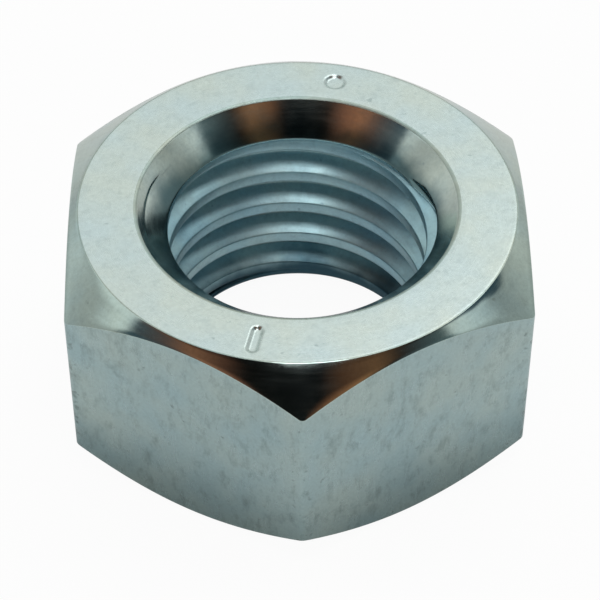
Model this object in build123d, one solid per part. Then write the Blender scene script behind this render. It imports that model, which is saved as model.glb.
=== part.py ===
from build123d import *
from build123d.topology import SkipClean
import os
from math import ceil, cos, isclose, radians, sqrt, tan

# A steel hexagon nut in one piece: chamfered at both ends, countersunk at both
# mouths of its bore, with a coarse metric thread cut the whole way through.
# Millimetres, +Z up. The origin is the middle of the face that it lies on, the
# thread's axis is Z, and one corner of the hexagon points along -Y.

# Hexagon
across_flats = 18.0
height = 9.6
corner_radius = 0.3

# Chamfered ends, each round a plain ring that bears on the work
bearing_diameter = 17.3
chamfer_angle = 38.0
edge_radius = 0.2

# Thread
major_diameter = 12.0
pitch = 1.75
bore_allowance = 0.1
left_hand = False
groove_angle = 60.0

# Countersinks at the two mouths of the bore
top_mouth_diameter = 12.75
bottom_mouth_diameter = 11.5
mouth_angle = 90.0

# The 60 degree thread form: its flanks, the flat at its root and the height of
# the sharp triangle that it is cut from
FLANK_ANGLE = 30.0
ROOT_FLAT_SHARE = 1 / 8
CREST_SHARE = 5 / 8
BORE_SECTORS = 6

sharp_height = pitch * sqrt(3) / 2
major_radius = major_diameter / 2
minor_radius = major_radius - CREST_SHARE * sharp_height + bore_allowance
corner_reach = across_flats / 2 / cos(radians(30))
mouth_slope = tan(radians(mouth_angle / 2))
top_mouth_depth = (top_mouth_diameter / 2 - minor_radius) / mouth_slope
bottom_mouth_depth = (bottom_mouth_diameter / 2 - minor_radius) / mouth_slope


def hexagon_bar():
    """Returns the bar that the nut is made from, its six edges slightly rounded."""
    outline = RegularPolygon(across_flats / 2, 6, major_radius=False, rotation=30)
    outline = fillet(outline.vertices(), corner_radius)
    return extrude(outline, height)


def turned_ends():
    """Returns the round body whose two cones chamfer the corners of the bar."""
    reach = corner_reach + corner_radius
    ring = bearing_diameter / 2
    drop = (reach - ring) * tan(radians(chamfer_angle))
    side = Polygon(
        (0, 0),
        (ring, 0),
        (reach, drop),
        (reach, height - drop),
        (ring, height),
        (0, height),
        align=None,
    )
    rims = side.vertices().filter_by(lambda v: abs(v.X - ring) < edge_radius / 2)
    return revolve(Plane.XZ * fillet(rims, edge_radius), Axis.Z)


def bore_sector():
    """Returns one sector of the bore and its two countersinks, to be cut away."""
    over = height / 2
    side = Polygon(
        (0, -over),
        (bottom_mouth_diameter / 2 + over * mouth_slope, -over),
        (minor_radius, bottom_mouth_depth),
        (minor_radius, height - top_mouth_depth),
        (top_mouth_diameter / 2 + over * mouth_slope, height + over),
        (0, height + over),
        align=None,
    )
    return revolve(Plane.XZ * side, Axis.Z, 360 / BORE_SECTORS)


def thread_groove():
    """Returns the helical groove between the ridges, run out past both faces."""
    overlap = pitch / 12
    inner = minor_radius - overlap
    root = pitch * ROOT_FLAT_SHARE / 2
    opening = root + (major_radius - inner) * tan(radians(FLANK_ANGLE))
    section = Polygon(
        (inner, -opening),
        (major_radius, -root),
        (major_radius, root),
        (inner, opening),
        align=None,
    )
    turn = Helix(pitch, pitch, major_radius, lefthand=left_hand)
    turns = ceil(height / pitch) + 2
    path = Wire([(Pos(0, 0, pitch * k) * turn).edge() for k in range(turns)])
    groove = sweep(Plane.XZ * section, path, is_frenet=True, clean=False)
    return Pos(0, 0, -pitch) * Rot(0, 0, groove_angle) * groove


def bored(blank):
    """Returns the blank with its bore cut sector by sector and its mouths eased."""
    for sector in range(BORE_SECTORS):
        blank -= Rot(0, 0, sector * 360 / BORE_SECTORS) * bore_sector()
    mouths = (bottom_mouth_diameter / 2, top_mouth_diameter / 2)
    rims = blank.edges().filter_by(GeomType.CIRCLE)
    rims = rims.filter_by(lambda rim: any(isclose(rim.radius, m, abs_tol=1e-6) for m in mouths))
    return fillet(rims, edge_radius)


blank = hexagon_bar() & turned_ends()
with SkipClean():
    nut = bored(blank) - thread_groove()

os.makedirs("parts", exist_ok=True)
export_step(nut, "parts/hexagon_nut.step")
print("volume", round(nut.volume, 2), "faces", len(nut.faces()))
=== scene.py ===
"""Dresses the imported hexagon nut: its sides, cones and tapped thread, its plating, and the studio.

Lengths are in millimetres while a mesh is being made. A finished mesh, the lights and the camera are
in metres.
"""

import logging
from collections.abc import Callable
from dataclasses import dataclass
from enum import Enum
from math import atan, atan2, ceil, cos, degrees, hypot, pi, radians, sin, sqrt, tan

import bmesh
import bpy
from mathutils import Matrix, Vector


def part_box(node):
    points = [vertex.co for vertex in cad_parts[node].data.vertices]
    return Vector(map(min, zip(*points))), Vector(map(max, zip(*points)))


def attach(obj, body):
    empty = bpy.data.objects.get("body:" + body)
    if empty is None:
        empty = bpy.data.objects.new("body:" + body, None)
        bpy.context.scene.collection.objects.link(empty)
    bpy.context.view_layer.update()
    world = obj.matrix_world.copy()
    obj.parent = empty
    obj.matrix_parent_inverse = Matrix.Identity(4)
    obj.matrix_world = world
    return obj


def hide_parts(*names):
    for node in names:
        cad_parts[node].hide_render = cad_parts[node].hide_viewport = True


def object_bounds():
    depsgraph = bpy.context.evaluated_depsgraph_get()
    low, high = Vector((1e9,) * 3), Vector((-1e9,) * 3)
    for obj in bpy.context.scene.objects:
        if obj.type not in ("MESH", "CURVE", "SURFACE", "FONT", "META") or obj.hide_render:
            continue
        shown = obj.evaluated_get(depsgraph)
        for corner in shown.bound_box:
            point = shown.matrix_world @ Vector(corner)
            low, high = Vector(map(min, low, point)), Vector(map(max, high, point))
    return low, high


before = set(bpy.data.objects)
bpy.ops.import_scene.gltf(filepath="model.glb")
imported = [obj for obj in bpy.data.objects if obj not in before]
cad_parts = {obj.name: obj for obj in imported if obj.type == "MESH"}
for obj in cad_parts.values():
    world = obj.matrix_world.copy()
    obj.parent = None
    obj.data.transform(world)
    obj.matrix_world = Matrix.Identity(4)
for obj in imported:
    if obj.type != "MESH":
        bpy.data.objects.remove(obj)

CAD_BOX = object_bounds()
MM = 0.001
FULL_TURN = 2 * pi
# Heights and points nearer than these, in millimetres, count as one, and so do shares that near to 0 or 1.
SAME_LEVEL = 1e-4
SAME_POINT = 1e-5
SAME_SHARE = 1e-6
Shape = bmesh.types.BMesh
Tree = bpy.types.NodeTree
Socket = bpy.types.NodeSocket
log = logging.getLogger("hexagon_nut")


class Surface(Enum):
    """How a face of the nut was made. The values are the places of the materials on the mesh."""

    PRESSED_SIDE = 0
    BEARING_FACE = 1
    TURNED_CONE = 2
    TAPPED_THREAD = 3
    COUNTERSINK = 4
    WORN_RIM = 5


class Hand(Enum):
    """Which way a thread winds: the sign of its rise for an anticlockwise turn seen from above."""

    RIGHT = 1
    LEFT = -1


class Lay(Enum):
    """The direction that a tool left its marks in."""

    UPRIGHT = "upright"
    ROUND = "round"


def srgb(code: str) -> tuple[float, float, float, float]:
    """Turns a colour as it is seen into the linear one that a shader takes.

    Args:
        code: six hex digits, with or without a leading hash.

    Returns:
        Linear red, green, blue and an alpha of one.
    """
    parts = [int(code.lstrip("#")[i : i + 2], 16) / 255 for i in (0, 2, 4)]
    linear = [c / 12.92 if c <= 0.04045 else ((c + 0.055) / 1.055) ** 2.4 for c in parts]
    return (*linear, 1.0)


def add_node(
    tree: Tree, kind: str, settings: dict | None = None, links: dict | None = None
) -> bpy.types.Node:
    """Adds one node with its settings and the links into it.

    Args:
        tree: the node tree that takes it.
        kind: the node's type name.
        settings: property names, or input names and numbers, to the values they are given. The name
            stops gives a colour ramp its places and hex colours.
        links: input names or numbers to the output sockets that feed them.

    Returns:
        The new node.
    """
    node = tree.nodes.new(kind)
    for name, value in (settings or {}).items():
        if name == "stops":
            for _ in value[2:]:
                node.color_ramp.elements.new(1.0)
            for element, (place, code) in zip(node.color_ramp.elements, value):
                element.position = place
                element.color = srgb(code)
        elif isinstance(name, str) and hasattr(node, name):
            setattr(node, name, value)
        else:
            node.inputs[name].default_value = value
    for name, socket in (links or {}).items():
        tree.links.new(socket, node.inputs[name])
    return node


def smooth(start: float, end: float, most: float = 1.0) -> dict:
    """Returns a map range's settings: from 0 at start it goes smoothly to its most at end."""
    return {"interpolation_type": "SMOOTHSTEP", "From Min": start, "From Max": end, "To Max": most}


def radius_of(point: Vector) -> float:
    """Returns how far a point is from the thread's axis."""
    return hypot(point.x, point.y)


def is_level(point: Vector, height: float) -> bool:
    """Says whether a point lies at a height."""
    return abs(point.z - height) < SAME_LEVEL


def open_ring(mesh: Shape, height: float) -> list[bmesh.types.BMEdge]:
    """Returns the open edges of a mesh that lie at one height."""
    return [e for e in mesh.edges if e.is_boundary and all(is_level(v.co, height) for v in e.verts)]


def at_radius(point: Vector, radius: float, height: float) -> Vector:
    """Returns the point at a radius and a height, in the same direction from the axis as another."""
    scale = radius / radius_of(point)
    return Vector((point.x * scale, point.y * scale, height))


def spaced(start: float, end: float, steps: int) -> list[float]:
    """Returns evenly spaced values from start to end, both included."""
    return [start + (end - start) * i / steps for i in range(steps + 1)]


def eased(value: float, start: float, end: float) -> float:
    """Returns a share that goes smoothly from 0 at start to 1 at end."""
    share = min(max((value - start) / (end - start), 0.0), 1.0)
    return share * share * (3 - 2 * share)


def soft_max(first: float, second: float, blend: float) -> float:
    """Returns the larger of two values, rounded where they are about equal."""
    return (first + second + sqrt((first - second) ** 2 + blend**2)) / 2


@dataclass(frozen=True)
class Hexagon:
    """The pressed outline: six flats that meet in slightly rounded upright edges."""

    across_flats: float
    corner_radius: float = 0.3
    crowding: float = 0.85

    def reach(self, angle: float) -> float:
        """Returns the outline's distance from the axis in one direction.

        Args:
            angle: the direction, in radians from +X.
        """
        apothem = self.across_flats / 2
        off_corner = abs((angle + pi / 2 + pi / 6) % (pi / 3) - pi / 6)
        corner_centre = (apothem - self.corner_radius) / cos(pi / 6)
        arc_start = atan2(self.corner_radius / 2, corner_centre + self.corner_radius * cos(pi / 6))
        if off_corner >= arc_start:
            return apothem / cos(pi / 6 - off_corner)
        across = corner_centre * sin(off_corner)
        return corner_centre * cos(off_corner) + sqrt(self.corner_radius**2 - across**2)

    def crowded(self, angle: float) -> float:
        """Returns the direction that a column of the mesh is turned to, to crowd them at the corners."""
        return angle + self.crowding / 6 * sin(6 * (angle + pi / 2 + pi / 6))


@dataclass(frozen=True)
class ThreadForm:
    """One turn of a 60 degree internal thread, and where it stands in the nut.

    The tap drags a little metal down over each crest, so a crest is rounder below than above.
    """

    major_diameter: float = 12.0
    pitch: float = 1.75
    bore_allowance: float = 0.1
    hand: Hand = Hand.RIGHT
    groove_angle: float = 60.0
    upper_round: float = 0.04
    lower_round: float = 0.17
    root_round: float = 0.1

    @property
    def major_radius(self) -> float:
        """Returns the radius of the roots."""
        return self.major_diameter / 2

    @property
    def minor_radius(self) -> float:
        """Returns the radius of the crests."""
        return self.major_radius - 5 / 8 * self.pitch * sqrt(3) / 2 + self.bore_allowance

    @property
    def root_half(self) -> float:
        """Returns half the width of the flat at a root, which is an eighth of the pitch wide."""
        return self.pitch / 16

    @property
    def flank_slope(self) -> float:
        """Returns how far a flank goes along the axis for each step outwards."""
        return tan(radians(30))

    def corners(self) -> list[tuple[float, float]]:
        """Returns the radius and height of one turn's outline, from the middle of a crest to the next."""
        crest, root, root_half = self.minor_radius, self.major_radius, self.root_half
        crest_half = self.pitch / 2 - root_half - (root - crest) * self.flank_slope
        return [
            (crest, 0.0),
            (crest, crest_half),
            (root, self.pitch / 2 - root_half),
            (root, self.pitch / 2 + root_half),
            (crest, self.pitch - crest_half),
            (crest, self.pitch),
        ]

    def radius_at(self, angle: float, height: float) -> float:
        """Returns the thread's radius, with sharp corners, in one direction at one height.

        Args:
            angle: the direction, in degrees from +X.
            height: the height above the bottom face.
        """
        turn = self.hand.value * (angle - self.groove_angle) / 360
        off_root = abs((height / self.pitch - turn + 0.5) % 1 - 0.5) * self.pitch
        flank = self.major_radius - (off_root - self.root_half) / self.flank_slope
        return min(max(flank, self.minor_radius), self.major_radius)

    def lowest_crest(self) -> float:
        """Returns the height, in the +X direction, of the crest below the nut where the turns start."""
        sign = self.hand.value
        return self.pitch * (-0.5 - sign * self.groove_angle / 360) % self.pitch - 2 * self.pitch


@dataclass(frozen=True)
class Punch:
    """A plain mark punched in the top face: a bar along a radius, or a round dot where it has no length."""

    angle: float
    inner: float
    outer: float
    width: float
    depth: float = 0.11
    wall: float = 0.2
    margin: float = 0.15
    cuts: int = 3

    @property
    def reach(self) -> float:
        """Returns how far from its middle line the face is made finer for it."""
        return self.width / 2 + self.wall + self.margin

    def distance(self, point: Vector) -> float:
        """Returns how far a point of the top face is from the middle line of the mark."""
        heading = Vector((cos(radians(self.angle)), sin(radians(self.angle))))
        flat = Vector((point.x, point.y))
        along = min(max(flat.dot(heading), self.inner), self.outer)
        return (flat - heading * along).length

    def sinking(self, point: Vector) -> float:
        """Returns how deep the face is sunk at a point."""
        edge = self.width / 2
        return self.depth * eased(self.distance(point), edge + self.wall / 2, edge - self.wall / 2)


@dataclass
class NutMesh:
    """The whole nut as one closed mesh, its edges slightly rounded, each face marked with its surface.

    The ends of the groove are worn shut where it meets the countersinks. Each span gives the directions
    where it starts to close, is shut, starts to open and is open again, in degrees.
    """

    hexagon: Hexagon
    thread: ThreadForm
    height: float
    bearing_radius: float = 8.65
    chamfer_angle: float = 38.0
    edge_radius: float = 0.2
    edge_lead: float = 1.5
    ring_round: float = 0.035
    crease_round: float = 0.02
    crease_angle: float = 20.0
    top_mouth_radius: float = 6.375
    bottom_mouth_radius: float = 5.75
    mouth_slope: float = 1.0
    mouth_blend: float = 0.045
    mouth_lead: float = 0.24
    mouth_row: float = 0.03
    mouth_merge: float = 0.04
    shut_above: tuple[float, float, float, float] = (-25.0, 45.0, 108.0, 170.0)
    shut_below: tuple[float, float, float, float] = (14.0, 50.0, 128.0, 166.0)
    punches: tuple[Punch, ...] = (
        Punch(angle=77.0, inner=7.55, outer=7.55, width=0.8),
        Punch(angle=257.0, inner=7.15, outer=8.05, width=0.38),
    )
    outer_columns: int = 360
    turn_columns: int = 180
    face_rows: int = 14
    cone_rows: int = 4
    side_rows: int = 6
    flank_cuts: int = 3
    crease_segments: int = 3
    thread_segments: int = 4
    rim_segments: int = 4
    flat_within: float = 0.001
    upright_within: float = 0.2

    def build(self) -> Shape:
        """Makes the closed mesh, in millimetres.

        Returns:
            The mesh, with its faces pointing outwards.
        """
        mesh = bmesh.new()
        self.add_outside(mesh)
        self.add_bore(mesh)
        for level in (0.0, self.height):
            rings = open_ring(mesh, level)
            bmesh.ops.triangle_fill(mesh, use_beauty=True, edges=rings, normal=(0, 0, 1))
        bmesh.ops.recalc_face_normals(mesh, faces=mesh.faces)
        for face in mesh.faces:
            face.smooth = True
            face.material_index = self.surface_of(face).value
        return mesh

    def blank_outline(self) -> list[tuple[float, float]]:
        """Returns the radius and height of the turned blank's outline, from the top face to the bottom."""
        ring, reach = self.bearing_radius, self.blank_reach
        drop = (reach - ring) * tan(radians(self.chamfer_angle))
        cone = [(r, (r - ring) / (reach - ring) * drop) for r in spaced(ring, reach, self.cone_rows)]
        seam = self.edge_radius / 2
        top = [(r, self.height) for r in spaced(self.top_flat_radius + seam, ring, self.face_rows)]
        upper = [(r, self.height - fall) for r, fall in cone[1:]]
        side = [(reach, z) for z in spaced(self.height - drop - seam, drop + seam, self.side_rows)]
        lower = [(r, fall) for r, fall in reversed(cone)]
        bottom = [(r, 0.0) for r in spaced(ring, self.bottom_flat_radius + seam, self.face_rows)]
        return top + upper + side + lower + bottom[1:]

    @property
    def blank_reach(self) -> float:
        """Returns the radius of the round blank, which is the hexagon's sharp corner."""
        return self.hexagon.across_flats / 2 / cos(pi / 6)

    @property
    def top_flat_radius(self) -> float:
        """Returns the radius at which the top face and the rounded rim of its countersink are joined."""
        return self.top_mouth_radius + self.edge_radius * self.edge_lead

    @property
    def bottom_flat_radius(self) -> float:
        """Returns the same radius on the bottom face, where the groove reaches past the countersink."""
        return self.thread.major_radius + self.edge_radius * self.edge_lead

    def add_outside(self, mesh: Shape) -> None:
        """Spins the turned blank, draws it in to the hexagon and rounds the edges of its cones.

        Args:
            mesh: the mesh that takes it, empty so far.
        """
        outline = [mesh.verts.new((0, -r, z)) for r, z in self.blank_outline()]
        rail = [mesh.edges.new(pair) for pair in zip(outline, outline[1:])]
        bmesh.ops.spin(
            mesh,
            geom=outline + rail,
            cent=(0, 0, 0),
            axis=(0, 0, 1),
            angle=FULL_TURN,
            steps=self.outer_columns,
            use_merge=True,
        )
        for vert in mesh.verts:
            vert.co = self.drawn_in(vert.co)
        bmesh.ops.recalc_face_normals(mesh, faces=mesh.faces)
        for offset, on_ring in ((self.ring_round, True), (self.crease_round, False)):
            sharp = [e for e in mesh.edges if e.calc_face_angle(0.0) > radians(self.crease_angle)]
            creases = [e for e in sharp if on_ring == all(self.on_face(v.co) for v in e.verts)]
            bmesh.ops.bevel(
                mesh,
                geom=creases,
                offset=offset,
                offset_type="OFFSET",
                segments=self.crease_segments,
                profile=0.5,
                affect="EDGES",
                clamp_overlap=False,
                material=-1,
            )
        for punch in self.punches:
            self.strike(mesh, punch)

    def on_face(self, point: Vector) -> bool:
        """Says whether a point lies in the top or the bottom face."""
        return is_level(point, 0.0) or is_level(point, self.height)

    def strike(self, mesh: Shape, punch: Punch) -> None:
        """Sinks a mark in the top face, on a finer patch of its mesh.

        Args:
            mesh: the outside of the nut.
            punch: the mark.
        """
        patch = [e for e in mesh.edges if all(self.is_struck(v.co, punch) for v in e.verts)]
        bmesh.ops.subdivide_edges(mesh, edges=patch, cuts=punch.cuts, use_grid_fill=True)
        for vert in mesh.verts:
            if self.is_struck(vert.co, punch):
                vert.co.z -= punch.sinking(vert.co)

    def is_struck(self, point: Vector, punch: Punch) -> bool:
        """Says whether a point of the top face lies in or near a mark."""
        return is_level(point, self.height) and punch.distance(point) < punch.reach

    def drawn_in(self, point: Vector) -> Vector:
        """Moves a point of the round blank in to the hexagon, along the cone or across the side.

        Args:
            point: a point of the turned blank.

        Returns:
            Its place on the nut.
        """
        ring, blank = self.bearing_radius, self.blank_reach
        share = (radius_of(point) - ring) / (blank - ring)
        if share < SAME_SHARE:
            return point
        angle = atan2(point.y, point.x)
        angle += share * (self.hexagon.crowded(angle) - angle)
        reach = self.hexagon.reach(angle)
        slope = tan(radians(self.chamfer_angle))
        middle = self.height / 2
        fall = share * (reach - ring) * slope
        if share > 1 - SAME_SHARE:
            rise = (point.z - middle) * (middle - fall) / (middle - (blank - ring) * slope)
        else:
            rise = (middle - fall) * (1 if point.z > middle else -1)
        radius = ring + share * (reach - ring)
        return Vector((radius * cos(angle), radius * sin(angle), middle + rise))

    def add_bore(self, mesh: Shape) -> None:
        """Adds the threaded bore with its two countersinks, up to the flat faces.

        Args:
            mesh: the mesh that takes it.
        """
        bore = bmesh.new()
        self.wind_thread(bore)
        self.cut_mouths(bore)
        self.raise_rim(bore, self.height, self.top_flat_radius)
        self.raise_rim(bore, 0.0, self.bottom_flat_radius)
        carrier = bpy.data.meshes.new("bore")
        bore.to_mesh(carrier)
        bore.free()
        mesh.from_mesh(carrier)
        bpy.data.meshes.remove(carrier)

    def wind_thread(self, bore: Shape) -> None:
        """Spins one turn's outline up the bore and closes each turn to the next.

        Args:
            bore: the bore's own mesh, empty so far.
        """
        thread = self.thread
        start = thread.lowest_crest()
        turns = ceil((self.height - start) / thread.pitch) + 1
        outline = [bore.verts.new((r, 0, start + z)) for r, z in thread.corners()]
        for pair in zip(outline, outline[1:]):
            bore.edges.new(pair)
        rounds = (((1,), thread.upper_round), ((4,), thread.lower_round), ((2, 3), thread.root_round))
        for places, size in rounds:
            bmesh.ops.bevel(
                bore,
                geom=[outline[i] for i in places],
                offset=size,
                offset_type="OFFSET",
                segments=self.thread_segments,
                profile=0.5,
                affect="VERTICES",
                clamp_overlap=False,
                material=-1,
            )
        flanks = [e for e in bore.edges if e.calc_length() > thread.pitch / 6]
        bmesh.ops.subdivide_edges(bore, edges=flanks, cuts=self.flank_cuts)
        rise = thread.hand.value * thread.pitch
        bmesh.ops.spin(
            bore,
            geom=bore.verts[:] + bore.edges[:],
            cent=(0, 0, 0),
            axis=(0, 0, 1),
            dvec=(0, 0, rise / self.turn_columns),
            angle=FULL_TURN,
            steps=self.turn_columns,
        )
        one_turn = bore.verts[:] + bore.edges[:] + bore.faces[:]
        for turn in range(1, turns):
            copied = bmesh.ops.duplicate(bore, geom=one_turn)["geom"]
            moved = [g for g in copied if isinstance(g, bmesh.types.BMVert)]
            bmesh.ops.translate(bore, verts=moved, vec=(0, 0, turn * thread.pitch))
        bmesh.ops.remove_doubles(bore, verts=bore.verts, dist=SAME_LEVEL)

    @property
    def mouth_tilt(self) -> float:
        """Returns the angle between a countersink and its flat face, in radians."""
        return atan(self.mouth_slope)

    @property
    def rim_depth(self) -> float:
        """Returns how deep the rounded rim of a countersink reaches under its face."""
        return self.edge_radius * (1 - cos(self.mouth_tilt))

    @property
    def top_foot(self) -> float:
        """Returns the height at which the upper countersink meets the crests."""
        return self.height - (self.top_mouth_radius - self.thread.minor_radius) / self.mouth_slope

    @property
    def bottom_foot(self) -> float:
        """Returns the height at which the lower countersink meets the crests."""
        return (self.bottom_mouth_radius - self.thread.minor_radius) / self.mouth_slope

    def cut_mouths(self, bore: Shape) -> None:
        """Trims the thread short of its countersinks and carries the bore on to their rims, row by row.

        Args:
            bore: the wound thread.
        """
        ends = (
            (self.top_foot, self.height - self.rim_depth, 1),
            (self.bottom_foot, self.rim_depth, -1),
        )
        for foot, rim, up in ends:
            start = foot - up * self.mouth_lead
            bmesh.ops.bisect_plane(
                bore,
                geom=bore.verts[:] + bore.edges[:] + bore.faces[:],
                dist=SAME_POINT,
                plane_co=(0, 0, start),
                plane_no=(0, 0, up),
                clear_outer=True,
            )
            cut = [v for v in bore.verts if is_level(v.co, start)]
            bmesh.ops.remove_doubles(bore, verts=cut, dist=self.mouth_merge)
            ring = open_ring(bore, start)
            rows = ceil(abs(foot - start) / self.mouth_row), ceil(abs(rim - foot) / self.mouth_row)
            levels = spaced(start, foot, rows[0])[1:] + spaced(foot, rim, rows[1])[1:]
            for level in levels:
                ring = self.extended(bore, ring, level, self.mouth_radius)

    def mouth_radius(self, point: Vector, height: float) -> float:
        """Returns the radius of the bore in or near a countersink.

        Args:
            point: a point in the direction that is asked for.
            height: the height above the bottom face.
        """
        angle = degrees(atan2(point.y, point.x))
        cone = max(
            self.top_mouth_radius - (self.height - height) * self.mouth_slope,
            self.bottom_mouth_radius - height * self.mouth_slope,
        )
        above = eased(height, self.top_foot - self.mouth_lead, self.top_foot)
        below = eased(height, self.bottom_foot + self.mouth_lead, self.bottom_foot)
        above *= self.shut_share(angle, self.shut_above)
        below *= self.shut_share(angle, self.shut_below)
        crest, root = self.thread.minor_radius, self.thread.major_radius
        groove = max(self.thread.radius_at(angle, height) - max(above, below) * (root - crest), crest)
        return soft_max(groove, cone, self.mouth_blend)

    def shut_share(self, angle: float, span: tuple[float, float, float, float]) -> float:
        """Says how far the end of the groove is pressed shut at a countersink.

        Args:
            angle: a direction from the axis, in degrees.
            span: where it starts to close, is shut, starts to open and is open.

        Returns:
            A share from 0, open, to 1, shut.
        """
        closing, shut, opening, clear = span
        return eased(angle, closing, shut) * eased(angle, clear, opening)

    def raise_rim(self, bore: Shape, level: float, flat: float) -> None:
        """Rounds the rim of a countersink up to its flat face, and starts the face.

        Args:
            bore: the trimmed bore.
            level: the flat face's height.
            flat: the radius at which the flat face's own mesh takes over.
        """
        edges = [
            e
            for e in bore.edges
            if e.is_boundary and all(abs(v.co.z - level) < self.height / 2 for v in e.verts)
        ]
        inward = -1 if level > 0 else 1
        steps = spaced(self.mouth_tilt, 0.0, self.rim_segments)
        for before, angle in zip(steps, steps[1:]):
            growth = self.edge_radius * (sin(before) - sin(angle))
            height = level + inward * self.edge_radius * (1 - cos(angle))
            edges = self.extended(bore, edges, height, lambda point, _: radius_of(point) + growth)
        self.extended(bore, edges, level, lambda *_: flat)

    def extended(
        self,
        bore: Shape,
        edges: list[bmesh.types.BMEdge],
        height: float,
        radius: Callable[[Vector, float], float],
    ) -> list[bmesh.types.BMEdge]:
        """Extrudes a ring of edges to a new height.

        Args:
            bore: the mesh that the ring is in.
            edges: the ring.
            height: the new ring's height.
            radius: gives the new radius of a point of the old ring at that height.

        Returns:
            The new ring.
        """
        grown = bmesh.ops.extrude_edge_only(bore, edges=edges)["geom"]
        verts = {g for g in grown if isinstance(g, bmesh.types.BMVert)}
        for vert in verts:
            vert.co = at_radius(vert.co, radius(vert.co, height), height)
        return [g for g in grown if isinstance(g, bmesh.types.BMEdge) and verts.issuperset(g.verts)]

    def surface_of(self, face: bmesh.types.BMFace) -> Surface:
        """Says how a face was made, from where it lies and which way it points.

        Args:
            face: a face of the finished mesh.

        Returns:
            Its surface.
        """
        centre = face.calc_center_median()
        radius = radius_of(centre)
        depth = min(centre.z, self.height - centre.z)
        edge = self.bearing_radius - self.edge_radius
        if depth < self.flat_within or self.top_flat_radius < radius < edge:
            return Surface.BEARING_FACE
        if depth < self.rim_depth and radius < self.bearing_radius + self.ring_round / 2:
            return Surface.WORN_RIM
        if radius > edge:
            upright = abs(face.normal.z) < self.upright_within
            return Surface.PRESSED_SIDE if upright else Surface.TURNED_CONE
        in_thread = self.bottom_foot < centre.z < self.top_foot
        return Surface.TAPPED_THREAD if in_thread else Surface.COUNTERSINK


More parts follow.
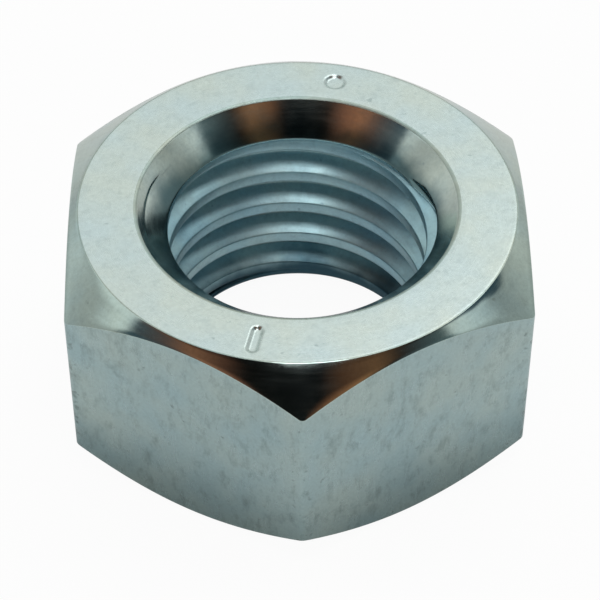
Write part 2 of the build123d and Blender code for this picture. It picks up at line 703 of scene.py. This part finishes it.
@dataclass(frozen=True)
class ZincPlate:
    """Steel plated with zinc and blue passivated, on a surface that a tool made one way.

    The colours are the plating's two casts, which drift into each other in clouds. The lay is the fine
    lines that the tool left, and the grain is the crystal bloom of the zinc, drawn coarser than the real
    one so that it shows. Stains run upright where their flow is under 1, and nicks start at a radius. A
    painted shade darkens the colour from one height to another, with a ragged edge, so that a surface
    is darker towards its lower end. Sizes are in millimetres, and a pair of edges is where a pattern
    starts and where it is at its full.
    """

    name: str
    cold: str
    warm: str
    stain: str
    roughness: float
    lay_pitch: float
    lay_depth: float
    grain_depth: float
    spread: float = 0.05
    lay: Lay = Lay.ROUND
    lay_squeeze: float = 0.07
    lay_wander: float = 4.0
    grain: float = 0.14
    bloom_edges: tuple[float, float] = (0.3, 0.7)
    bloom_light: tuple[float, float] = (0.93, 1.04)
    cloud: float = 2.6
    cloud_edges: tuple[float, float] = (0.35, 0.65)
    stain_size: float = 0.45
    stain_edges: tuple[float, float] = (0.5, 0.75)
    stain_share: float = 0.35
    stain_flow: float = 1.0
    nicked_from: float = 20.0
    nick_fade: float = 0.16
    nick_lean: float = 0.11
    nick_size: float = 0.42
    nick_edges: tuple[float, float] = (0.68, 0.8)
    nick_share: float = 0.6
    nick_depth: float = 0.0
    drift: float = 0.9
    drift_edges: tuple[float, float] = (0.7, 1.3)
    # Painted shade: a darker colour multiplied in from one height to another.
    painted_shade: str = "#ffffff"
    painted_shade_from: float = 1.0
    painted_shade_to: float = 0.0
    painted_shade_ragged: float = 1.6

    def material(self) -> bpy.types.Material:
        """Makes the material.

        Returns:
            A node material for the mesh.
        """
        made = bpy.data.materials.new(self.name)
        made.use_nodes = True
        tree = made.node_tree
        tree.nodes.clear()
        coords = add_node(tree, "ShaderNodeTexCoord").outputs["Object"]
        place = add_node(
            tree, "ShaderNodeVectorMath", {"operation": "SCALE", "Scale": 1 / MM}, {0: coords}
        ).outputs[0]
        lines = self.lay_lines(tree, place)
        grain = add_node(
            tree,
            "ShaderNodeTexNoise",
            {"Scale": 1 / self.grain, "Detail": 3.0, "Roughness": 0.6},
            {"Vector": place},
        )
        nicks = self.nicks(tree, place)
        shader = add_node(
            tree,
            "ShaderNodeBsdfPrincipled",
            {"Metallic": 1.0},
            {
                "Base Color": self.plating_colour(tree, place, grain.outputs["Fac"], nicks),
                "Roughness": self.gloss(tree, place, lines),
                "Normal": self.relief(tree, lines, grain.outputs["Fac"], nicks),
            },
        )
        add_node(tree, "ShaderNodeOutputMaterial", links={"Surface": shader.outputs[0]})
        return made

    def lay_lines(self, tree: Tree, place: Socket) -> Socket:
        """Adds the tool's fine lines, from 0 to 1.

        Args:
            tree: the material's nodes.
            place: the place on the nut, in millimetres.

        Returns:
            The height of the lines.
        """
        if self.lay is Lay.UPRIGHT:
            squeezed = {"operation": "MULTIPLY", 1: (1.0, 1.0, self.lay_squeeze)}
            drawn = add_node(tree, "ShaderNodeVectorMath", squeezed, {0: place}).outputs[0]
        else:
            flat, radius = self.from_axis(tree, place)
            heading = add_node(
                tree, "ShaderNodeVectorMath", {"operation": "NORMALIZE"}, {0: flat}
            ).outputs[0]
            level = add_node(tree, "ShaderNodeCombineXYZ", links={"Z": radius}).outputs[0]
            wander = {"operation": "SCALE", "Scale": self.lay_wander * self.lay_pitch}
            turned = add_node(tree, "ShaderNodeVectorMath", wander, {0: heading}).outputs[0]
            drawn = add_node(
                tree, "ShaderNodeVectorMath", {"operation": "ADD"}, {0: level, 1: turned}
            ).outputs[0]
        lines = add_node(
            tree,
            "ShaderNodeTexNoise",
            {"Scale": 1 / self.lay_pitch, "Detail": 2.0, "Roughness": 0.5},
            {"Vector": drawn},
        )
        return lines.outputs["Fac"]

    def from_axis(self, tree: Tree, place: Socket) -> tuple[Socket, Socket]:
        """Adds the way from the thread's axis to a place.

        Args:
            tree: the material's nodes.
            place: the place on the nut, in millimetres.

        Returns:
            The level vector from the axis, and its length.
        """
        level = {"operation": "MULTIPLY", 1: (1.0, 1.0, 0.0)}
        flat = add_node(tree, "ShaderNodeVectorMath", level, {0: place}).outputs[0]
        radius = add_node(tree, "ShaderNodeVectorMath", {"operation": "LENGTH"}, {0: flat})
        return flat, radius.outputs["Value"]

    def nicks(self, tree: Tree, place: Socket) -> Socket:
        """Adds the small knocks that the plating barrel leaves on the surface farthest from the axis.

        Args:
            tree: the material's nodes.
            place: the place on the nut, in millimetres.

        Returns:
            How far each place is knocked in, from 0 to 1.
        """
        edge = add_node(
            tree,
            "ShaderNodeMapRange",
            smooth(self.nicked_from, self.nicked_from + self.nick_fade, self.nick_lean),
            {"Value": self.from_axis(tree, place)[1]},
        ).outputs[0]
        knocks = add_node(
            tree,
            "ShaderNodeTexNoise",
            {"Scale": 1 / self.nick_size, "Detail": 2.0, "Roughness": 0.55},
            {"Vector": place},
        ).outputs["Fac"]
        worn = add_node(tree, "ShaderNodeMath", {"operation": "ADD"}, {0: knocks, 1: edge}).outputs[0]
        knocked = smooth(*self.nick_edges, self.nick_share)
        return add_node(tree, "ShaderNodeMapRange", knocked, {"Value": worn}).outputs[0]

    def plating_colour(self, tree: Tree, place: Socket, grain: Socket, nicks: Socket) -> Socket:
        """Adds the plating's colour: two casts in clouds, small stains and knocks, and a painted shade that
        darkens it towards one end.

        Args:
            tree: the material's nodes.
            place: the place on the nut, in millimetres.
            grain: the height of the zinc's bloom.
            nicks: how far each place is knocked in.

        Returns:
            The colour.
        """
        cloud = add_node(
            tree, "ShaderNodeTexNoise", {"Scale": 1 / self.cloud, "Detail": 5.0}, {"Vector": place}
        ).outputs["Fac"]
        start, full = self.cloud_edges
        cast = add_node(
            tree, "ShaderNodeMapRange", {"From Min": start, "From Max": full}, {"Value": cloud}
        ).outputs[0]
        plain = add_node(
            tree, "ShaderNodeMix", {"data_type": "RGBA", 6: srgb(self.cold), 7: srgb(self.warm)}, {0: cast}
        ).outputs[2]
        drawn_out = {"operation": "MULTIPLY", 1: (1.0, 1.0, self.stain_flow)}
        flow = add_node(tree, "ShaderNodeVectorMath", drawn_out, {0: place}).outputs[0]
        spots = add_node(
            tree,
            "ShaderNodeTexNoise",
            {"Scale": 1 / self.stain_size, "Detail": 6.0, "Roughness": 0.7},
            {"Vector": flow},
        ).outputs["Fac"]
        start, full = self.stain_edges
        stains = add_node(
            tree,
            "ShaderNodeMapRange",
            {"From Min": start, "From Max": full, "To Max": self.stain_share},
            {"Value": spots},
        ).outputs[0]
        worn = add_node(tree, "ShaderNodeMath", {"operation": "MAXIMUM"}, {0: stains, 1: nicks}).outputs[0]
        stained = add_node(
            tree, "ShaderNodeMix", {"data_type": "RGBA", 7: srgb(self.stain)}, {0: worn, 6: plain}
        ).outputs[2]
        (start, full), (low, high) = self.bloom_edges, self.bloom_light
        bloomed = add_node(
            tree,
            "ShaderNodeMapRange",
            {"From Min": start, "From Max": full, "To Min": low, "To Max": high},
            {"Value": grain},
        ).outputs[0]
        bloom = add_node(
            tree, "ShaderNodeVectorMath", {"operation": "SCALE"}, {0: stained, "Scale": bloomed}
        ).outputs[0]
        level = add_node(tree, "ShaderNodeSeparateXYZ", links={0: place}).outputs["Z"]
        # Painted shade: the colour is multiplied darker from one height to another, with an edge made ragged
        # by the clouds.
        ragged = add_node(
            tree, "ShaderNodeMath", {"operation": "MULTIPLY_ADD", 1: self.painted_shade_ragged}, {0: cloud, 2: level}
        )
        middle = self.painted_shade_ragged / 2
        painted_shade_share = add_node(
            tree,
            "ShaderNodeMapRange",
            smooth(self.painted_shade_from + middle, self.painted_shade_to + middle),
            {"Value": ragged.outputs[0]},
        ).outputs[0]
        return add_node(
            tree,
            "ShaderNodeMix",
            {"data_type": "RGBA", "blend_type": "MULTIPLY", 7: srgb(self.painted_shade)},
            {0: painted_shade_share, 6: bloom},
        ).outputs[2]

    def gloss(self, tree: Tree, place: Socket, lines: Socket) -> Socket:
        """Adds the roughness, which drifts with the bath and is higher between the tool's lines.

        Args:
            tree: the material's nodes.
            place: the place on the nut, in millimetres.
            lines: the height of the tool's lines.

        Returns:
            The roughness.
        """
        drift = add_node(
            tree, "ShaderNodeTexNoise", {"Scale": 1 / self.drift, "Detail": 4.0}, {"Vector": place}
        ).outputs["Fac"]
        both = add_node(tree, "ShaderNodeMath", {"operation": "ADD"}, {0: drift, 1: lines}).outputs[0]
        start, full = self.drift_edges
        return add_node(
            tree,
            "ShaderNodeMapRange",
            {
                "From Min": start,
                "From Max": full,
                "To Min": self.roughness - self.spread,
                "To Max": self.roughness + self.spread,
            },
            {"Value": both},
        ).outputs[0]

    def relief(self, tree: Tree, lines: Socket, grain: Socket, nicks: Socket) -> Socket:
        """Adds the height of the tool's lines and of the zinc's bloom, and the knocks.

        Args:
            tree: the material's nodes.
            lines: the height of the tool's lines.
            grain: the height of the bloom.
            nicks: how far each place is knocked in.

        Returns:
            The normal.
        """
        cut = add_node(
            tree, "ShaderNodeBump", {"Strength": 1.0, "Distance": self.lay_depth * MM}, {"Height": lines}
        ).outputs[0]
        bloomed = add_node(
            tree,
            "ShaderNodeBump",
            {"Strength": 1.0, "Distance": self.grain_depth * MM},
            {"Height": grain, "Normal": cut},
        ).outputs[0]
        return add_node(
            tree,
            "ShaderNodeBump",
            {"invert": True, "Strength": 1.0, "Distance": self.nick_depth * MM},
            {"Height": nicks, "Normal": bloomed},
        ).outputs[0]


@dataclass
class HexagonNut:
    """The dressed nut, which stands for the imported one. Its finishes are in the order of Surface."""

    node: str = "hexagon_nut"
    slot: str = "zinc_plated_steel"
    finishes: tuple[ZincPlate, ...] = (
        # Sides pressed between dies: satin, with upright drag marks and grey stains that make the
        # flats look soft and a little dirty, and small knocks along the upright corners. A painted shade
        # darkens them from about mid-height down to the bottom edge.
        ZincPlate(
            name="zinc_plate_pressed",
            cold="#a4bcbf",
            warm="#adbfbc",
            stain="#71817f",
            roughness=0.3,
            spread=0.06,
            lay=Lay.UPRIGHT,
            lay_pitch=0.16,
            lay_depth=0.0022,
            grain=0.12,
            grain_depth=0.0016,
            stain_share=0.6,
            stain_flow=0.5,
            nicked_from=10.12,
            nick_depth=0.03,
            # painted shade: darker towards the bottom edge
            painted_shade="#aab1b1",
            painted_shade_from=5.0,
            painted_shade_to=-0.6,
        ),
        # Ring faced on a lathe: the palest and most even surface, with lines too fine to count.
        ZincPlate(
            name="zinc_plate_faced",
            cold="#c6d4d4",
            warm="#cbd4cd",
            stain="#9dabaa",
            roughness=0.27,
            lay_pitch=0.12,
            lay_depth=0.0005,
            grain_depth=0.0022,
        ),
        # Cones turned with a keen tool: almost a mirror, so they show the room's dark side.
        ZincPlate(
            name="zinc_plate_turned",
            cold="#b0c3c2",
            warm="#b9c6bd",
            stain="#939f99",
            roughness=0.11,
            spread=0.03,
            lay_pitch=0.1,
            lay_depth=0.0007,
            grain_depth=0.0004,
        ),
        # Thread cut by a tap: soft and blue, where the bath passivated it thickest, with a painted shade
        # that darkens its lowest turns deep in the bore.
        ZincPlate(
            name="zinc_plate_tapped",
            cold="#a5cbd7",
            warm="#b3d1d5",
            stain="#7796a6",
            roughness=0.4,
            lay_pitch=0.09,
            lay_depth=0.0012,
            grain_depth=0.0012,
            # painted shade: darker in the lowest turns of the bore
            painted_shade="#5f727a",
            painted_shade_from=2.1,
            painted_shade_to=0.85,
        ),
        # Countersinks cut with a keen tool: a mirror with round tool lines, with a painted shade that
        # darkens the upper one towards its foot and the lower one all over.
        ZincPlate(
            name="zinc_plate_countersunk",
            cold="#c0cecb",
            warm="#c7d0c6",
            stain="#93a5a6",
            roughness=0.15,
            spread=0.04,
            lay_pitch=0.13,
            lay_depth=0.0012,
            grain=0.16,
            grain_depth=0.0006,
            # painted shade: darker towards the foot, where the cone goes into the bore
            painted_shade="#7d9198",
            painted_shade_from=9.3,
            painted_shade_to=8.4,
        ),
        # Rims rubbed in the plating barrel: matt and a little darker than the face beside them.
        ZincPlate(
            name="zinc_plate_worn_rim",
            cold="#a4b7b3",
            warm="#aeb6ab",
            stain="#868b7e",
            roughness=0.42,
            lay_pitch=0.12,
            lay_depth=0.0006,
            grain_depth=0.002,
        ),
    )

    def build(self) -> bpy.types.Object:
        """Makes the nut's mesh, dresses it and puts it in the frame.

        Returns:
            The nut.
        """
        low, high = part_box(self.node)
        size = (high - low) / MM
        nut = NutMesh(Hexagon(across_flats=size.x), ThreadForm(), height=size.z)
        shape = nut.build()
        bmesh.ops.scale(shape, vec=(MM, MM, MM), verts=shape.verts)
        mesh = bpy.data.meshes.new("dressed_nut")
        shape.to_mesh(mesh)
        shape.free()
        for finish in self.finishes:
            mesh.materials.append(finish.material())
        piece = bpy.data.objects.new("dressed_nut", mesh)
        bpy.context.scene.collection.objects.link(piece)
        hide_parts(self.node)
        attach(piece, "root")
        return piece


@dataclass(frozen=True)
class Softbox:
    """A square soft light that faces the nut: where it hangs, in degrees and metres, and its power."""

    name: str
    azimuth: float
    elevation: float
    distance: float
    size: float
    power: float

    def hang(self) -> None:
        """Hangs the light."""
        lamp = bpy.data.lights.new(self.name, "AREA")
        lamp.size = self.size
        lamp.energy = self.power
        softbox = bpy.data.objects.new(self.name, lamp)
        bpy.context.scene.collection.objects.link(softbox)
        turn, rise = radians(self.azimuth), radians(self.elevation)
        heading = Vector((cos(turn) * cos(rise), sin(turn) * cos(rise), sin(rise)))
        softbox.location = heading * self.distance
        softbox.rotation_euler = heading.to_track_quat("Z", "Y").to_euler()


@dataclass(frozen=True)
class Board:
    """A round dark board in the room: its direction, its colour and the degrees that it reaches."""

    towards: tuple[float, float, float]
    colour: str = "#364a54"
    reach: float = 5.0
    fade: float = 3.5


@dataclass(frozen=True)
class Room:
    """The light that comes from the room, by direction.

    It is palest between 34 and 51 degrees up, dimmer at the horizon, overhead and at the two sides, and
    dark on the side of the camera, where a brown wall shows twice between black stretches. Dark boards
    hang at the right, where the countersink shows them twice mirrored. The heights are those of the
    direction's unit vector, and the places across go from 0 at the left to 1 at the right.
    """

    boards: tuple[Board, ...] = (
        Board(towards=(0.66, 0.02, 0.751)),
        Board(towards=(0.737, 0.13, 0.663)),
        Board(towards=(0.784, 0.25, 0.568)),
    )
    strength: float = 1.15
    by_height: tuple[tuple[float, str], ...] = (
        (0.0, "#cccccc"),
        (0.04, "#c0c0c0"),
        (0.1, "#bcc0bf"),
        (0.3, "#dde1df"),
        (0.41, "#c6cac8"),
        (0.48, "#b8bcba"),
        (0.56, "#eaf1f0"),
        (0.78, "#e6eae9"),
        (0.95, "#bcc0c0"),
    )
    by_side: tuple[tuple[float, str], ...] = (
        (0.04, "#e2e2e2"),
        (0.1, "#ffffff"),
        (0.82, "#ffffff"),
        (0.9, "#f4f4f4"),
        (0.96, "#ccd0d0"),
    )
    gloom: tuple[tuple[float, str], ...] = (
        (0.1, "#28343a"),
        (0.16, "#3a2f2c"),
        (0.22, "#6a4532"),
        (0.29, "#54362a"),
        (0.35, "#0c0c0b"),
        (0.56, "#090d0f"),
        (0.62, "#553828"),
        (0.7, "#664630"),
        (0.77, "#1c1613"),
        (0.9, "#3b484b"),
    )
    sides_rise: tuple[float, float] = (0.08, 0.2)
    gloom_lift: float = 2.5
    lift_edges: tuple[float, float] = (0.82, 0.72)
    gloom_slant: tuple[float, float, float] = (0.09, 1.0, -0.7)
    gloom_edges: tuple[float, float] = (-0.49, -0.58)
    gloom_from: float = 0.46
    gloom_to: float = 0.99
    softness: float = 0.08

    def build(self) -> bpy.types.World:
        """Makes the world.

        Returns:
            The world, not yet set on a scene.
        """
        world = bpy.data.worlds.new("studio")
        world.use_nodes = True
        tree = world.node_tree
        tree.nodes.clear()
        towards = add_node(tree, "ShaderNodeTexCoord").outputs["Generated"]
        heading = add_node(tree, "ShaderNodeSeparateXYZ", links={0: towards}).outputs
        across = add_node(tree, "ShaderNodeMapRange", {"From Min": -1.0}, {"Value": heading["X"]}).outputs[0]
        height = add_node(
            tree, "ShaderNodeValToRGB", {"stops": self.by_height}, {0: heading["Z"]}
        ).outputs[0]
        side = add_node(tree, "ShaderNodeValToRGB", {"stops": self.by_side}, {0: across}).outputs[0]
        gloom = add_node(tree, "ShaderNodeValToRGB", {"stops": self.gloom}, {0: across}).outputs[0]
        risen = add_node(
            tree, "ShaderNodeMapRange", smooth(*self.sides_rise), {"Value": heading["Z"]}
        ).outputs[0]
        room = add_node(
            tree,
            "ShaderNodeMix",
            {"data_type": "RGBA", "blend_type": "MULTIPLY"},
            {0: risen, 6: height, 7: side},
        ).outputs[2]
        for board in self.boards:
            aim = {"operation": "DOT_PRODUCT", 1: board.towards}
            off = add_node(tree, "ShaderNodeVectorMath", aim, {0: towards}).outputs["Value"]
            edges = smooth(cos(radians(board.reach + board.fade)), cos(radians(board.reach)))
            covered = add_node(tree, "ShaderNodeMapRange", edges, {"Value": off}).outputs[0]
            room = add_node(
                tree, "ShaderNodeMix", {"data_type": "RGBA", 7: srgb(board.colour)}, {0: covered, 6: room}
            ).outputs[2]
        aim = {"operation": "DOT_PRODUCT", 1: self.gloom_slant}
        slant = add_node(tree, "ShaderNodeVectorMath", aim, {0: towards}).outputs["Value"]
        facing = smooth(*self.gloom_edges)
        dark = add_node(tree, "ShaderNodeMapRange", facing, {"Value": slant}).outputs[0]
        for end, fade in ((self.gloom_from, self.softness), (self.gloom_to, -self.softness)):
            inside = add_node(tree, "ShaderNodeMapRange", smooth(end, end + fade), {"Value": heading["Z"]})
            dark = add_node(
                tree, "ShaderNodeMath", {"operation": "MULTIPLY"}, {0: dark, 1: inside.outputs[0]}
            ).outputs[0]
        start, full = self.lift_edges
        lower = add_node(
            tree,
            "ShaderNodeMapRange",
            {"From Min": start, "From Max": full, "To Min": 1.0, "To Max": self.gloom_lift},
            {"Value": heading["Z"]},
        ).outputs[0]
        gloom = add_node(
            tree, "ShaderNodeVectorMath", {"operation": "SCALE"}, {0: gloom, "Scale": lower}
        ).outputs[0]
        light = add_node(
            tree, "ShaderNodeMix", {"data_type": "RGBA"}, {0: dark, 6: room, 7: gloom}
        ).outputs[2]
        glow = add_node(tree, "ShaderNodeBackground", {"Strength": self.strength}, {"Color": light})
        add_node(tree, "ShaderNodeOutputWorld", links={"Surface": glow.outputs[0]})
        return world


@dataclass
class Studio:
    """The pale floor, the room, the soft lights and the camera."""

    across_flats: float
    height: float
    floor_reach: float = 2.0
    floor_colour: str = "#f4f4f4"
    floor_lift: float = 0.95
    mirrored_lift: float = 0.3
    room: Room = Room()
    softboxes: tuple[Softbox, ...] = (
        Softbox("key", azimuth=45.0, elevation=66.0, distance=0.4, size=0.3, power=0.27),
        Softbox("overhead", azimuth=-79.0, elevation=75.0, distance=0.4, size=0.13, power=0.19),
    )
    lens: float = 136.8
    sensor: float = 36.0
    clip: float = 0.005
    distance: float = 5.1723
    elevation: float = 44.98
    azimuth: float = -0.969
    roll: float = -0.022
    target: tuple[float, float, float] = (0.0054, 0.0, -0.0366)

    def build(self) -> None:
        """Makes the floor, the room, the lights and the camera."""
        scene = bpy.context.scene
        scene.view_settings.view_transform = "Standard"
        self.add_floor()
        scene.world = self.room.build()
        for softbox in self.softboxes:
            softbox.hang()
        scene.camera = self.camera()

    def add_floor(self) -> None:
        """Makes a plain pale floor that keeps the nut's shadow."""
        shape = bmesh.new()
        bmesh.ops.create_grid(shape, x_segments=1, y_segments=1, size=self.floor_reach)
        mesh = bpy.data.meshes.new("floor")
        shape.to_mesh(mesh)
        shape.free()
        floor = bpy.data.objects.new("floor", mesh)
        bpy.context.scene.collection.objects.link(floor)
        made = bpy.data.materials.new("pale_floor")
        made.use_nodes = True
        tree = made.node_tree
        tree.nodes.clear()
        paper = add_node(tree, "ShaderNodeBsdfDiffuse", {"Color": srgb(self.floor_colour)})
        white = add_node(tree, "ShaderNodeEmission", {"Color": srgb("#ffffff"), "Strength": 1.0})
        path = add_node(tree, "ShaderNodeLightPath").outputs
        seen = add_node(
            tree,
            "ShaderNodeMath",
            {"operation": "MAXIMUM"},
            {0: path["Is Camera Ray"], 1: path["Is Transmission Ray"]},
        ).outputs[0]
        mirrored = add_node(
            tree,
            "ShaderNodeMath",
            {"operation": "MULTIPLY", 1: self.mirrored_lift},
            {0: path["Is Glossy Ray"]},
        ).outputs[0]
        lift = add_node(
            tree, "ShaderNodeMath", {"operation": "MULTIPLY_ADD", 1: self.floor_lift}, {0: seen, 2: mirrored}
        ).outputs[0]
        both = add_node(
            tree, "ShaderNodeMixShader", links={0: lift, 1: paper.outputs[0], 2: white.outputs[0]}
        ).outputs[0]
        add_node(tree, "ShaderNodeOutputMaterial", links={"Surface": both})
        mesh.materials.append(made)

    def camera(self) -> bpy.types.Object:
        """Places the camera where the photograph was taken from.

        Returns:
            The camera.
        """
        unit = self.across_flats
        rise = radians(self.elevation)
        turn = Matrix.Rotation(radians(self.azimuth), 3, "Z")
        place = Vector((0, -self.distance * cos(rise), self.distance * sin(rise))) * unit
        aim = Vector(self.target) * unit
        middle = Vector((0, 0, self.height / 2))
        look = (aim - place).to_track_quat("-Z", "Y").to_matrix()
        look = turn @ look @ Matrix.Rotation(radians(self.roll), 3, "Z")
        data = bpy.data.cameras.new("camera")
        data.lens = self.lens
        data.sensor_width = self.sensor
        data.clip_start = self.clip
        camera = bpy.data.objects.new("camera", data)
        bpy.context.scene.collection.objects.link(camera)
        where = (turn @ place + middle) * MM
        camera.matrix_world = Matrix.Translation(where) @ look.to_4x4()
        return camera


def main() -> None:
    """Builds the nut and the studio."""
    logging.basicConfig(level=logging.INFO, format="%(name)s %(message)s")
    piece = HexagonNut().build()
    log.info("%s with %d faces", piece.name, len(piece.data.polygons))
    size = (CAD_BOX[1] - CAD_BOX[0]) / MM
    Studio(across_flats=size.x, height=size.z).build()


if __name__ == "__main__":
    main()
